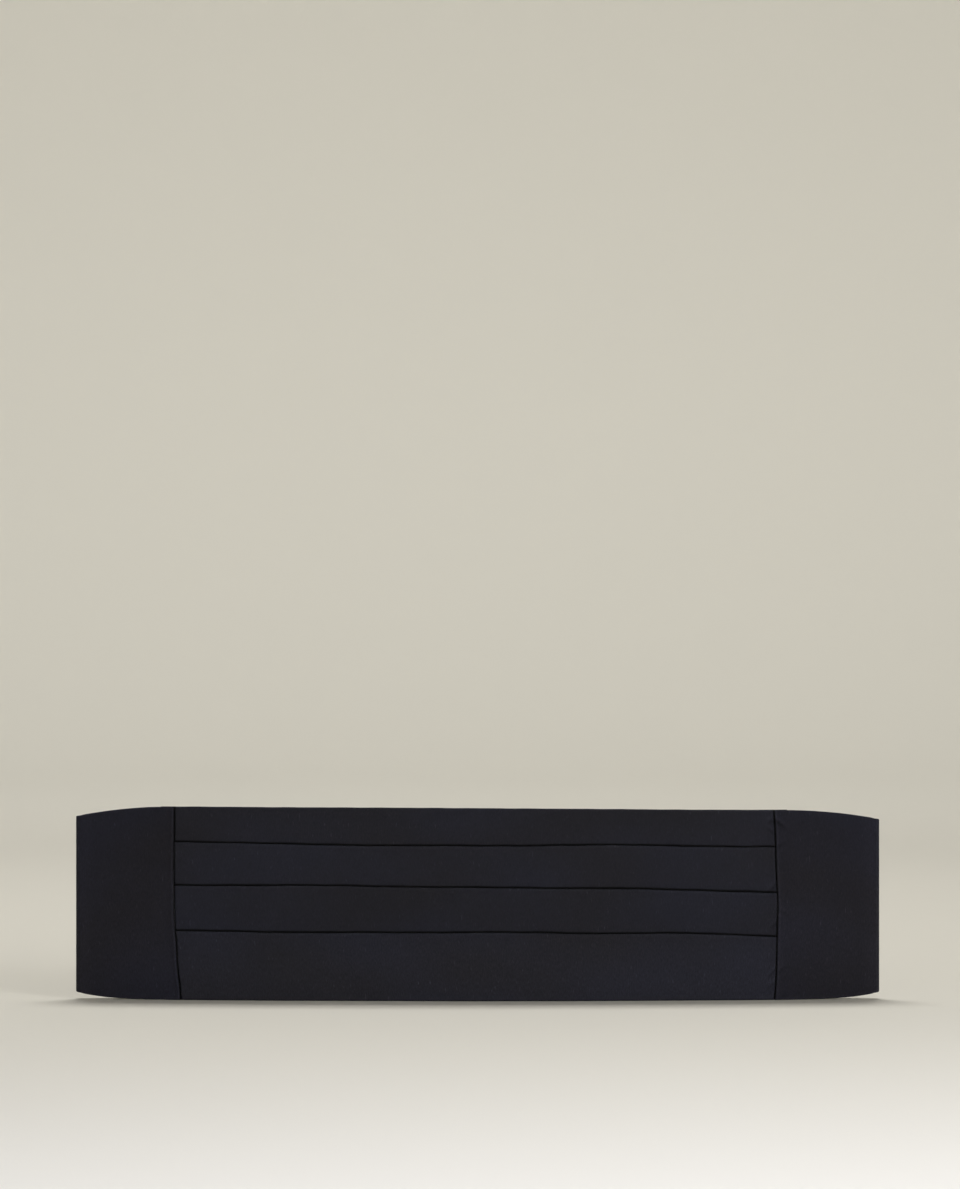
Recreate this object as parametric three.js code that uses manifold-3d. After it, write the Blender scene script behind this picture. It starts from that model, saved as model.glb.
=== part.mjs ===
// A cummerbund: a pleated waist sash, fastened into a loop and standing on its lower edge.
// A pleated front is sewn between two plain side panels, which fold round to the back and narrow
// towards two straps. A flat clasp joins the straps, and they sag until it rests on the surface.
// +Z is up and the front looks along -Y.
//
// Every piece is drawn as flat cloth and then wrapped round the loop, so a place on it has three
// numbers: how far along the loop it is, how deep, and how high. Along is 0 at the middle of the
// front and grows towards +X. Depth is 0 on the loop's innermost line and grows outwards.
import * as THREE from "three";
import { mergeVertices } from "three/addons/utils/BufferGeometryUtils.js";
import Module from "manifold-3d";

// Driving sizes, in millimetres.
const WIDTH = 528; // from end fold to end fold, outside
const HEIGHT = 127; // of the cloth at the left seam
const FRONT_BOW = 18; // the front's middle, ahead of the end folds
const BACK_BOW = 14; // the clasp's middle, behind the end folds
const END_FOLD_RADIUS = 1.2; // of the innermost line, where the side panels fold to the back

const FRONT_LENGTH = 400; // the pleated front along the cloth, from seam to seam
const BACKING = 1.2; // the front's cloth under its pleats
const PLEAT_GAP = 0.35; // the pocket behind each folded edge
const PLEAT_FLAP = 1.35; // the doubled cloth at a folded edge
const PLEAT_HIDDEN = 11; // how deep the pocket reaches under a folded edge
const BAND_FOOT = 2; // a band leaves the backing over this far below and above the next fold
const BAND_LIFT = 0.5; // how far it then stands off the backing
const TOP_THICKNESS = 2.0; // the front at its upper edge
const BOTTOM_THICKNESS = 2.6; // the front at its lower edge
const EDGE_ROUND = 0.45; // the turned edges' corners

const SEAM_ALLOWANCE = 10; // the front's cloth that runs on behind each side panel
const ALLOWANCE_THICKNESS = 0.9;

const SIDE_LENGTH = 215; // each side panel along the cloth, from its seam to its narrow end
const SIDE_THICKNESS = 1.6;
const SIDE_END_HEIGHT = 46;

const STRAP_WIDTH = 30;
const STRAP_THICKNESS = 1.0;
const STRAP_LAP = 16; // how far a strap runs on behind its side panel
const STRAP_RETURN = 26; // the end of a strap that is turned back over the clasp

const CLASP_LENGTH = 46;
const CLASP_HEIGHT = 40;
const CLASP_THICKNESS = 1.4;
const CLASP_CORNER = 4;
const CLASP_BAR = 5; // the bar that a strap turns round
const CLASP_SLOT = 4;

const CLEARANCE = 0.3; // between pieces that are sewn or threaded together
const STATION_STEP = 14; // the longest flat facet along the cloth
const SECTION_STEP = 12; // the longest flat facet up the cloth

// The pleated front's upper edge and folded edges, as shares of HEIGHT.
// at runs from -1 at the left seam to 1 at the right one.
const FRONT_LINES = [
  { at: -1.0, top: 0.998, upper: 0.815, middle: 0.588, lower: 0.355 },
  { at: -0.58, top: 0.99, upper: 0.803, middle: 0.591, lower: 0.349 },
  { at: -0.25, top: 0.988, upper: 0.797, middle: 0.586, lower: 0.349 },
  { at: 0.08, top: 0.983, upper: 0.796, middle: 0.58, lower: 0.351 },
  { at: 0.42, top: 0.979, upper: 0.8, middle: 0.576, lower: 0.344 },
  { at: 0.75, top: 0.98, upper: 0.792, middle: 0.564, lower: 0.342 },
  { at: 1.0, top: 0.977, upper: 0.787, middle: 0.551, lower: 0.325 },
];
const FOLD_NAMES = ["upper", "middle", "lower"];
const DRAWN_LINES = FRONT_LINES[3]; // the front's section is drawn here and follows the rest

// How far each seam strays from upright, towards +X, as shares of HEIGHT.
const SEAM_LINES = [
  { height: 0.0, left: 0.034, right: -0.035 },
  { height: 0.08, left: 0.028, right: -0.029 },
  { height: 0.16, left: 0.018, right: -0.025 },
  { height: 0.3, left: 0.011, right: -0.022 },
  { height: 0.4, left: 0.002, right: -0.02 },
  { height: 0.5, left: 0.0, right: -0.018 },
  { height: 0.7, left: -0.002, right: -0.026 },
  { height: 0.87, left: 0.0, right: -0.029 },
  { height: 1.0, left: 0.002, right: -0.039 },
];
const SEAM_FADE = 45; // a side panel's cloth is straight again this far from its seam

// A side panel's outline: each edge's way from the full height to SIDE_END_HEIGHT, against the
// way along the panel.
const SIDE_TAPER = [
  { along: 0.0, narrowed: 0.0 },
  { along: 0.1, narrowed: 0.017 },
  { along: 0.2, narrowed: 0.068 },
  { along: 0.3, narrowed: 0.15 },
  { along: 0.45, narrowed: 0.33 },
  { along: 0.65, narrowed: 0.65 },
  { along: 0.85, narrowed: 0.93 },
  { along: 1.0, narrowed: 1.0 },
];

// Depths that pieces share: an inner layer for the allowances and straps, an outer one for the
// side panels and the clasp.
const OUTER_LAYER = Math.max(ALLOWANCE_THICKNESS, STRAP_THICKNESS) + CLEARANCE;
const SIDE_OUTSIDE = OUTER_LAYER + SIDE_THICKNESS;
const ALLOWANCE_INSIDE = 0.1; // keeps the allowance's face off the front's own inner face

// The loop's innermost line: a wide arc in front, a tight one at each end fold and a flat arc
// behind, each running smoothly into the next.
const foldCentre = WIDTH / 2 - END_FOLD_RADIUS - SIDE_OUTSIDE;
const arcRadius = (bow) =>
  (foldCentre ** 2 / (bow - END_FOLD_RADIUS) + END_FOLD_RADIUS + bow) / 2;
const arcAngle = (radius) => Math.asin(foldCentre / (radius - END_FOLD_RADIUS));
const frontRadius = arcRadius(FRONT_BOW);
const frontAngle = arcAngle(frontRadius);
const backRadius = arcRadius(BACK_BOW);
const backAngle = arcAngle(backRadius);
const foldStart = frontRadius * frontAngle;
const foldEnd = foldStart + END_FOLD_RADIUS * (Math.PI - frontAngle - backAngle);
const halfLoop = foldEnd + backRadius * backAngle;

// How far the cloth has sagged at some way round the loop: none as far as the end folds, and all
// the way down to the surface at the clasp.
function sag(way) {
  const share = THREE.MathUtils.smoothstep(way, foldEnd, halfLoop - CLASP_LENGTH);
  return (share * (HEIGHT - CLASP_HEIGHT)) / 2;
}

// The place in space of a point on the wrapped cloth.
function wrap(along, depth, height) {
  const turned = along > halfLoop ? along - 2 * halfLoop : along;
  const way = Math.abs(turned);
  let angle;
  let radius;
  let centre;
  if (way <= foldStart) {
    angle = way / frontRadius;
    radius = frontRadius;
    centre = [0, frontRadius - FRONT_BOW];
  } else if (way <= foldEnd) {
    angle = frontAngle + (way - foldStart) / END_FOLD_RADIUS;
    radius = END_FOLD_RADIUS;
    centre = [foldCentre, 0];
  } else {
    angle = Math.PI - backAngle + (way - foldEnd) / backRadius;
    radius = backRadius;
    centre = [0, BACK_BOW - backRadius];
  }
  const x = centre[0] + (radius + depth) * Math.sin(angle);
  const y = centre[1] - (radius + depth) * Math.cos(angle);
  return new THREE.Vector3(Math.sign(turned) * x, y, height - sag(way));
}

// The value of one column of a table where another column is at, along a smooth curve.
function lookUp(table, key, column, at) {
  const last = table.length - 1;
  let i = 0;
  while (i < last - 1 && at > table[i + 1][key]) i += 1;
  const slope = (j) => {
    const a = table[Math.max(j - 1, 0)];
    const b = table[Math.min(j + 1, last)];
    return (b[column] - a[column]) / (b[key] - a[key]);
  };
  const [a, b] = [table[i], table[i + 1]];
  const span = b[key] - a[key];
  const t = THREE.MathUtils.clamp((at - a[key]) / span, 0, 1);
  return (
    a[column] * (1 + 2 * t) * (1 - t) ** 2 +
    b[column] * t * t * (3 - 2 * t) +
    span * t * (1 - t) * (slope(i) * (1 - t) - slope(i + 1) * t)
  );
}

// Numbers from a to b, no further apart than step.
function spread(a, b, step) {
  const count = Math.max(1, Math.ceil(Math.abs(b - a) / step));
  return Array.from({ length: count + 1 }, (_, i) => a + ((b - a) * i) / count);
}

// A strip of cloth, swept along the stations. Its section is drawn as rungs from its lower edge to
// its upper one, each with a height, the depth of its inside and the depth of its outside.
function sweep(drawn, stations, place) {
  const rungs = drawn.slice(0, 1);
  for (const rung of drawn.slice(1)) {
    const from = rungs.at(-1);
    for (const t of spread(0, 1, SECTION_STEP / (rung[0] - from[0])).slice(1)) {
      rungs.push(rung.map((value, i) => from[i] + t * (value - from[i])));
    }
  }
  const count = rungs.length;
  const outline = [
    ...rungs.map(([height, inside]) => [height, inside]),
    ...rungs.map(([height, , outside]) => [height, outside]).reverse(),
  ];
  const positions = stations.flatMap((station) =>
    outline.flatMap(([height, depth]) => place(station, depth, height).toArray()),
  );
  const index = [];
  const quad = (a, b, c, d) => index.push(a, b, c, a, c, d);
  for (let i = 0; i < stations.length - 1; i += 1) {
    const start = i * 2 * count;
    for (let j = 0; j < 2 * count; j += 1) {
      const [a, b] = [start + j, start + ((j + 1) % (2 * count))];
      quad(a, b, b + 2 * count, a + 2 * count);
    }
  }
  const last = (stations.length - 1) * 2 * count;
  for (let j = 0; j < count - 1; j += 1) {
    const across = 2 * count - 1 - j;
    quad(j, across, across - 1, j + 1);
    quad(last + j, last + j + 1, last + across - 1, last + across);
  }
  const geometry = new THREE.BufferGeometry();
  geometry.setAttribute("position", new THREE.Float32BufferAttribute(positions, 3));
  geometry.setIndex(index);
  geometry.computeVertexNormals();
  return geometry;
}

// The rungs of a flat strip with its corners taken off by r.
function stripRungs(low, high, inside, outside, r) {
  return [
    [low, inside + r, outside - r],
    [low + r, inside, outside],
    [high - r, inside, outside],
    [high, inside + r, outside - r],
  ];
}

// The rungs of the bands between the folded edges, from the top one down. Each band leans back
// from its folded edge and meets the backing where the next band's folded edge covers it, so that
// each pleat is a pocket that opens upwards. The bands' insides are sunk into the backing.
function bandRungs() {
  const r = EDGE_ROUND;
  const sunk = BACKING / 2;
  const pocket = BACKING + PLEAT_GAP;
  const proud = pocket + PLEAT_FLAP;
  return [...FOLD_NAMES, "bottom"].map((lowerName, i) => {
    const isTop = i === 0;
    const isBottom = lowerName === "bottom";
    const high = DRAWN_LINES[isTop ? "top" : FOLD_NAMES[i - 1]] * HEIGHT;
    const lowerFold = isBottom ? r : DRAWN_LINES[lowerName] * HEIGHT;
    const low = isBottom ? r : lowerFold + BAND_FOOT;
    const lowOutside = isBottom ? BOTTOM_THICKNESS : BACKING + BAND_LIFT;
    const highOutside = isTop ? TOP_THICKNESS : proud;
    const outsideAt = (height) =>
      THREE.MathUtils.mapLinear(height, low, high - r, lowOutside, highOutside);
    const rungs = isBottom
      ? [[0, sunk, BOTTOM_THICKNESS - r]]
      : [[lowerFold - BAND_FOOT, sunk, BACKING - BAND_LIFT]];
    rungs.push([low, sunk, lowOutside]);
    if (isTop) {
      rungs.push([high - r, sunk, highOutside], [high, sunk, highOutside - r]);
      return rungs;
    }
    const pocketEnd = high - PLEAT_HIDDEN;
    rungs.push(
      [pocketEnd, sunk, outsideAt(pocketEnd)],
      [pocketEnd + PLEAT_GAP, pocket, outsideAt(pocketEnd + PLEAT_GAP)],
      [high - r, pocket, proud],
      [high, pocket + r, proud - r],
    );
    return rungs;
  });
}

// A height on the drawn section, moved with the folded edges' lines to another place along.
function frontHeight(at, height) {
  const names = ["top", ...FOLD_NAMES];
  const drawn = [...names.map((name) => DRAWN_LINES[name] * HEIGHT), 0];
  const there = [...names.map((name) => lookUp(FRONT_LINES, "at", name, at) * HEIGHT), 0];
  let i = 0;
  while (i < names.length - 1 && height < drawn[i + 1]) i += 1;
  const t = (height - drawn[i + 1]) / (drawn[i] - drawn[i + 1]);
  return there[i + 1] + t * (there[i] - there[i + 1]);
}

const seamShift = (side, height) =>
  lookUp(SEAM_LINES, "height", side, height / HEIGHT) * HEIGHT;

// Where a station between the upright seams lies once the seams stray.
function betweenSeams(along, height) {
  const share = along / FRONT_LENGTH + 0.5;
  const left = seamShift("left", height);
  const right = seamShift("right", height);
  return along + left + share * (right - left);
}

const wasm = await Module();
wasm.setup();

function toSolid(geometry) {
  const bare = geometry.clone();
  bare.deleteAttribute("normal");
  bare.deleteAttribute("uv");
  const merged = mergeVertices(bare, 1e-3);
  return new wasm.Manifold(
    new wasm.Mesh({
      numProp: 3,
      vertProperties: merged.getAttribute("position").array,
      triVerts: new Uint32Array(merged.index.array),
    }),
  );
}

function toGeometry(solid) {
  const mesh = solid.getMesh();
  const geometry = new THREE.BufferGeometry();
  geometry.setAttribute("position", new THREE.BufferAttribute(mesh.vertProperties, 3));
  geometry.setIndex(new THREE.BufferAttribute(mesh.triVerts, 1));
  geometry.computeVertexNormals();
  return geometry;
}

// The pleated front, with an allowance of thin cloth that runs on past each seam.
function pleatedFront() {
  const half = FRONT_LENGTH / 2;
  const stations = spread(-half, half, STATION_STEP);
  const top = DRAWN_LINES.top * HEIGHT;
  const layers = [stripRungs(0, top, 0, BACKING, EDGE_ROUND), ...bandRungs()];
  const pieces = layers.map((rungs) =>
    sweep(rungs, stations, (along, depth, height) => {
      const z = frontHeight(along / half, height);
      return wrap(betweenSeams(along, z), depth, z);
    }),
  );
  for (const [side, sign] of [
    ["left", -1],
    ["right", 1],
  ]) {
    const high = lookUp(FRONT_LINES, "at", "top", sign) * HEIGHT - EDGE_ROUND;
    const rungs = [
      [EDGE_ROUND, ALLOWANCE_INSIDE, ALLOWANCE_THICKNESS],
      [high, ALLOWANCE_INSIDE, ALLOWANCE_THICKNESS],
    ];
    const middle = sign * half;
    const reach = spread(middle - SEAM_ALLOWANCE, middle + SEAM_ALLOWANCE, STATION_STEP);
    pieces.push(
      sweep(rungs, reach, (along, depth, height) =>
        wrap(along + seamShift(side, height), depth, height),
      ),
    );
  }
  return toGeometry(pieces.map(toSolid).reduce((a, b) => a.add(b)));
}

// A plain side panel, from its seam round the end fold to its narrow end at the back.
function sidePanel(side, sign) {
  const seam = FRONT_LENGTH / 2 + CLEARANCE;
  const end = seam + SIDE_LENGTH;
  const top = lookUp(FRONT_LINES, "at", "top", sign) * HEIGHT;
  const foldStep = (foldEnd - foldStart) / 10;
  const ways = [
    ...spread(seam, foldStart, STATION_STEP),
    ...spread(foldStart, foldEnd, foldStep).slice(1),
    ...spread(foldEnd, end, STATION_STEP).slice(1),
  ];
  const stations = sign > 0 ? ways : ways.map((way) => -way).reverse();
  return sweep(
    stripRungs(0, top, OUTER_LAYER, SIDE_OUTSIDE, EDGE_ROUND),
    stations,
    (along, depth, height) => {
      const way = Math.abs(along) - seam;
      const narrowed = lookUp(SIDE_TAPER, "along", "narrowed", way / SIDE_LENGTH);
      const share = 1 - narrowed * (1 - SIDE_END_HEIGHT / top);
      const z = top / 2 + share * (height - top / 2);
      const fade = THREE.MathUtils.smoothstep(SEAM_FADE - way, 0, SEAM_FADE);
      return wrap(along + fade * seamShift(side, height), depth, z);
    },
  );
}

// A strap: from behind the side panel's narrow end to the clasp, round its bar and back. Its
// middle line is drawn as distance from the clasp's middle against depth.
function backStrap(sign) {
  const half = STRAP_THICKNESS / 2;
  const bar = CLASP_LENGTH / 2 - CLASP_BAR;
  const outward = OUTER_LAYER + CLASP_THICKNESS + CLEARANCE + half;
  const turn = (outward - half) / 2;
  const start = halfLoop - FRONT_LENGTH / 2 - CLEARANCE - SIDE_LENGTH + STRAP_LAP;
  const line = spread(start, bar, STATION_STEP).map((way) => [way, half]);
  for (let i = 1; i < 8; i += 1) {
    const angle = (Math.PI * i) / 8;
    line.push([bar - turn * Math.sin(angle), half + turn * (1 - Math.cos(angle))]);
  }
  line.push(
    [bar, outward],
    [CLASP_LENGTH / 2 + 2 * CLEARANCE, outward],
    [CLASP_LENGTH / 2 + STRAP_RETURN / 4, STRAP_THICKNESS + CLEARANCE + half],
    [bar + STRAP_RETURN, STRAP_THICKNESS + CLEARANCE + half],
  );
  const middle = HEIGHT / 2;
  const rungs = stripRungs(
    middle - STRAP_WIDTH / 2,
    middle + STRAP_WIDTH / 2,
    -half,
    half,
    STRAP_THICKNESS / 4,
  );
  const stations = line.map((_, i) => (sign > 0 ? line.length - 1 - i : i));
  return sweep(rungs, stations, (i, offset, height) => {
    const [way, depth] = line[i];
    const before = line[Math.max(i - 1, 0)];
    const after = line[Math.min(i + 1, line.length - 1)];
    const run = new THREE.Vector2(after[0] - before[0], after[1] - before[1]).normalize();
    const along = way - offset * run.y;
    return wrap(halfLoop - sign * along, depth + offset * run.x, height);
  });
}

// A solid drawn flat, wrapped round the loop. where gives a point's along, depth and height.
function wrapped(geometry, where) {
  const position = geometry.getAttribute("position");
  const point = new THREE.Vector3();
  for (let i = 0; i < position.count; i += 1) {
    point.fromBufferAttribute(position, i);
    const placed = wrap(...where(point));
    position.setXYZ(i, placed.x, placed.y, placed.z);
  }
  geometry.computeVertexNormals();
  return geometry;
}

// The clasp: a flat plate with an upright slot near each end.
function clasp() {
  const [halfLength, halfHeight, r] = [CLASP_LENGTH / 2, CLASP_HEIGHT / 2, CLASP_CORNER];
  const plate = new THREE.Shape();
  plate.absarc(halfLength - r, r - halfHeight, r, -Math.PI / 2, 0);
  plate.absarc(halfLength - r, halfHeight - r, r, 0, Math.PI / 2);
  plate.absarc(r - halfLength, halfHeight - r, r, Math.PI / 2, Math.PI);
  plate.absarc(r - halfLength, r - halfHeight, r, Math.PI, 1.5 * Math.PI);
  const geometry = new THREE.ExtrudeGeometry(plate, {
    depth: CLASP_THICKNESS,
    bevelEnabled: false,
    curveSegments: 5,
  });
  const slots = [-1, 1].map((sign) => {
    const slot = new THREE.BoxGeometry(CLASP_SLOT, STRAP_WIDTH + 2 * CLEARANCE, HEIGHT);
    return toSolid(slot.translate(sign * (halfLength - CLASP_BAR - CLASP_SLOT / 2), 0, 0));
  });
  const slotted = toGeometry(toSolid(geometry).subtract(slots[0]).subtract(slots[1]));
  return wrapped(slotted, (p) => [halfLoop + p.x, OUTER_LAYER + p.z, HEIGHT / 2 + p.y]);
}

const face = new THREE.MeshStandardMaterial({ color: 0x212025, roughness: 0.85, metalness: 0 });
const panel = new THREE.MeshStandardMaterial({ color: 0x201f24, roughness: 0.85, metalness: 0 });
const webbing = new THREE.MeshStandardMaterial({ color: 0x1b1b1e, roughness: 0.9, metalness: 0 });
const enamel = new THREE.MeshStandardMaterial({ color: 0x141416, roughness: 0.35, metalness: 0.6 });

const cummerbund = new THREE.Group();
for (const [name, geometry, material] of [
  ["pleated_front", pleatedFront(), face],
  ["side_panel_left", sidePanel("left", -1), panel],
  ["side_panel_right", sidePanel("right", 1), panel],
  ["back_strap_left", backStrap(-1), webbing],
  ["back_strap_right", backStrap(1), webbing],
  ["clasp", clasp(), enamel],
]) {
  const mesh = new THREE.Mesh(geometry, material);
  mesh.name = name;
  cummerbund.add(mesh);
}

// The origin is under the middle of the whole, on the surface that it stands on.
const box = new THREE.Box3().setFromObject(cummerbund);
const middle = box.getCenter(new THREE.Vector3());
for (const mesh of cummerbund.children) mesh.position.set(-middle.x, -middle.y, -box.min.z);

export default cummerbund;
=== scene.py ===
"""A fastened pleated cummerbund in black cloth, standing on its lower edge on a pale floor.

Each cloth piece is worked out flat, in millimetres: along the loop from the front's middle, depth
outwards from the inner face, and height above the floor. wrap() then lays it round the loop.
"""

import math

import bpy
import numpy as np
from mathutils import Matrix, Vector


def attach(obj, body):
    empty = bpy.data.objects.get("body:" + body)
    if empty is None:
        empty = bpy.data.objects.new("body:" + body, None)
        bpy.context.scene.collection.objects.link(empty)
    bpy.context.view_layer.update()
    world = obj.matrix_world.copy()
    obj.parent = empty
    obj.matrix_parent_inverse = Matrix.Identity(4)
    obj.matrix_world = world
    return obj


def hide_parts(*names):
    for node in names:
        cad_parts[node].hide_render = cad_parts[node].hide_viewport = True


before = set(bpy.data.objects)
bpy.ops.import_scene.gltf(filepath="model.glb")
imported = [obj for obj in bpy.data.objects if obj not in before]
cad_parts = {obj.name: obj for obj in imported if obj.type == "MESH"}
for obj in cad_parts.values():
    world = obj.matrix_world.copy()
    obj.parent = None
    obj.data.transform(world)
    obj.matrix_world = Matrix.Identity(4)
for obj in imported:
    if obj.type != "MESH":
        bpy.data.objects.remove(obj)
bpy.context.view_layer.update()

# the loop, with the front bowing forwards and the back bowing backwards between tight end folds
WIDTH = 528.0
HEIGHT = 127.0
FRONT_BOW = 18.0
BACK_BOW = 14.0
FOLD_RADIUS = 1.2
LOOP_BACK = 1.478  # how far the line between the folds lies behind the origin

# the pleated front
HALF_FRONT = 200.0
FRONT_TOP = 2.1
FRONT_PROUD = 2.9
FLAP_INSIDE = 1.75
POCKET_BACK = 0.8
PLEAT_HIDDEN = 11.0
PLEAT_TURN = 1.3
LOWER_EDGE = 2.45
EDGE_ROUND = 1.1
TOP_ROUND = 0.95
UNDER_PANEL = 9.0

# the bands between the folded edges: their foot, and the roll and the dip under their head
BAND_FOOT = 1.95
BAND_ROLL = 0.12
BAND_DIP = 0.10

# the side panels, whose two faces lie OUTER_LAYER and SIDE_OUTSIDE deep
OUTER_LAYER = 1.3
SIDE_OUTSIDE = 2.9
SIDE_LENGTH = 215.0
SIDE_END_HEIGHT = 46.0
SIDE_EDGE = 0.8
SEAM_GAP = 0.12
SIDE_DROOP = 0.9
FOLD_CORNER = 0.5

# the straps and the clasp
STRAP_WIDTH = 30.0
STRAP_THICKNESS = 1.0
STRAP_LAP = 16.0
STRAP_RETURN = 26.0
CLEARANCE = 0.3
CLASP_LENGTH = 46.0
CLASP_HEIGHT = 40.0
CLASP_THICKNESS = 1.4
CLASP_CORNER = 4.0
CLASP_BAR = 5.0
CLASP_SLOT = 4.0
CLASP_BEVEL = 0.32
SLOT_CORNER = 0.9

# the stitches: a box and a cross this far in from a panel's end, and rows from a strap's own end
BOX_NEAR = 2.6
BOX_FAR = 13.0
STITCH_MARGIN = 2.5
END_ROWS = (2.2, 5.0)

# the folded edges' heights as shares of HEIGHT, at shares of the half front from its middle
LINES_AT = [-1.0, -0.58, -0.25, 0.08, 0.42, 0.75, 1.0]
TOP_LINE = [0.998, 0.997, 0.995, 0.993, 0.988, 0.984, 0.981]
UPPER_LINE = [0.815, 0.803, 0.797, 0.796, 0.8, 0.792, 0.787]
MIDDLE_LINE = [0.588, 0.591, 0.586, 0.58, 0.576, 0.564, 0.551]
LOWER_LINE = [0.355, 0.349, 0.349, 0.351, 0.344, 0.342, 0.325]

# how far the seams wander to the right, at shares of the height, and how the side panels narrow
SEAM_AT = [0.0, 0.08, 0.16, 0.3, 0.4, 0.5, 0.7, 0.87, 1.0]
LEFT_SEAM = [0.042, 0.036, 0.026, 0.019, 0.010, 0.007, 0.006, 0.008, 0.009]
RIGHT_SEAM = [-0.043, -0.037, -0.033, -0.030, -0.028, -0.026, -0.035, -0.039, -0.048]
TAPER_AT = [0.0, 0.1, 0.2, 0.3, 0.45, 0.65, 0.85, 1.0]
TAPER = [0.0, 0.013, 0.055, 0.14, 0.33, 0.65, 0.93, 1.0]

# pulls beside the right seam, each (height, slope, ridge height), with painted highlight on their ridges
# and painted shade in their hollows
PULL_WIDTH = 1.2
PULL_REACH = 3.2
PULL_PAINTED_LIGHT = 2.2
PULL_PAINTED_SHADE = 1.4
FRONT_PULLS = [
    (119.0, 0.5, 0.4),
    (113.0, -0.6, 0.3),
    (76.0, 0.9, 0.4),
    (51.0, 0.7, 0.3),
    (20.0, 1.1, 0.4),
    (12.0, 0.8, 0.3),
]
SIDE_PULLS = [(118.0, 0.8, 0.6), (104.0, -0.5, 0.2), (60.0, 0.6, 0.2), (22.0, -0.7, 0.25)]

# linear colours
FRONT_COLOUR = (0.0200, 0.0197, 0.0261)
SIDE_COLOUR = (0.0167, 0.0161, 0.0219)
LINING_COLOUR = (0.0105, 0.0103, 0.0125)
WEBBING_COLOUR = (0.0115, 0.0115, 0.0140)
THREAD_COLOUR = (0.022, 0.022, 0.026)
ENAMEL_COLOUR = (0.012, 0.012, 0.013, 1)
RUBBED_COLOUR = (0.10, 0.10, 0.105, 1)
PAPER_COLOUR = (0.78, 0.756, 0.684)

# the studio's light: the world's own, and each lamp's watts
WORLD_COLOUR = (1.0, 0.985, 0.95, 1)
WORLD_STRENGTH = 0.09
LIGHT_WATTS = {"above": 64.0, "near_floor": 8.2, "front": 2.3, "walls": 25.0}

# the studio, in metres: a flat floor that bends up into a wall all round, with lights for the wall
FLOOR_OUT = 3.6
WALL_OUT = 5.2
WALL_TOP = 4.2
WALL_LIGHT_OUT = 1.8
WALL_LIGHT_UP = 3.4

# the camera is level, in metres in front of FRONT_PLACE and above the floor, with its lens in mm
CAMERA_DISTANCE = 3.0
CAMERA_HEIGHT = 0.2657
CAMERA_ASIDE = 0.00155
FRONT_PLACE = -0.008
CAMERA_LENS = 138.6


# camera, floor and light


def make_camera():
    """A level camera, straight in front."""
    camera = bpy.data.objects.new("camera", bpy.data.cameras.new("camera"))
    bpy.context.scene.collection.objects.link(camera)
    camera.data.lens = CAMERA_LENS
    camera.data.clip_end = 60.0
    camera.location = (CAMERA_ASIDE, FRONT_PLACE - CAMERA_DISTANCE, CAMERA_HEIGHT)
    camera.rotation_euler = (math.pi / 2, 0, 0)
    bpy.context.scene.camera = camera


def backdrop(material, steps=96):
    """A paper floor that curves up into a wall all the way round."""
    bend = WALL_OUT - FLOOR_OUT
    profile = [(r, 0.0) for r in (0.25, 0.6, 1.2, 2.2, FLOOR_OUT)]
    angles = np.linspace(0, math.pi / 2, 18)[1:]
    profile += [(FLOOR_OUT + bend * math.sin(t), bend * (1 - math.cos(t))) for t in angles]
    profile.append((WALL_OUT, WALL_TOP))
    turns = [2 * math.pi * k / steps for k in range(steps)]
    verts = [(r * math.cos(t), r * math.sin(t), z) for r, z in profile for t in turns]
    faces = [list(range(steps))]
    for ring in range(len(profile) - 1):
        a, b = ring * steps, (ring + 1) * steps
        faces += [[a + k, b + k, b + (k + 1) % steps, a + (k + 1) % steps] for k in range(steps)]
    paper = mesh_object("backdrop", verts, faces, [material])


def area_light(name, at, towards, size, watts, colour=(1.0, 1.0, 1.0), spread=180.0):
    data = bpy.data.lights.new(name, "AREA")
    data.shape = "RECTANGLE"
    data.size, data.size_y = size
    data.energy = watts
    data.color = colour
    data.spread = math.radians(spread)
    lamp = bpy.data.objects.new(name, data)
    bpy.context.scene.collection.objects.link(lamp)
    lamp.location = at
    lamp.rotation_euler = (Vector(towards) - Vector(at)).to_track_quat("-Z", "Y").to_euler()
    lamp.visible_camera = False


def studio_light():
    area_light("above", at=(0.0, 1.0, 3.2), towards=(0.0, 0.3, 0.0), size=(1.7, 1.1),
               watts=LIGHT_WATTS["above"], colour=(1.0, 0.99, 0.97))
    area_light("near_floor", at=(0.3, -1.6, 1.9), towards=(0.3, -1.55, 0.0), size=(1.4, 0.5),
               watts=LIGHT_WATTS["near_floor"], colour=(0.93, 0.96, 1.12), spread=78.0)
    area_light("front", at=(1.9, -2.2, 0.9), towards=(0.0, 0.0, 0.06), size=(1.0, 1.0),
               watts=LIGHT_WATTS["front"], spread=45.0)
    for k in range(4):
        turn = k * math.pi / 2
        beside, ahead = math.cos(turn), math.sin(turn)
        stand = (WALL_LIGHT_OUT * beside, WALL_LIGHT_OUT * ahead, WALL_LIGHT_UP)
        aim = (WALL_OUT * beside, WALL_OUT * ahead, 0.3)
        area_light("wall_%d" % k, at=stand, towards=aim, size=(4.0, 0.6),
                   watts=LIGHT_WATTS["walls"], colour=(0.98, 0.985, 0.985), spread=100.0)
    world = bpy.data.worlds.new("studio")
    world.use_nodes = True
    world.node_tree.nodes["Background"].inputs["Color"].default_value = WORLD_COLOUR
    world.node_tree.nodes["Background"].inputs["Strength"].default_value = WORLD_STRENGTH
    bpy.context.scene.world = world
    bpy.context.scene.view_settings.view_transform = "Standard"


# curves


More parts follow.
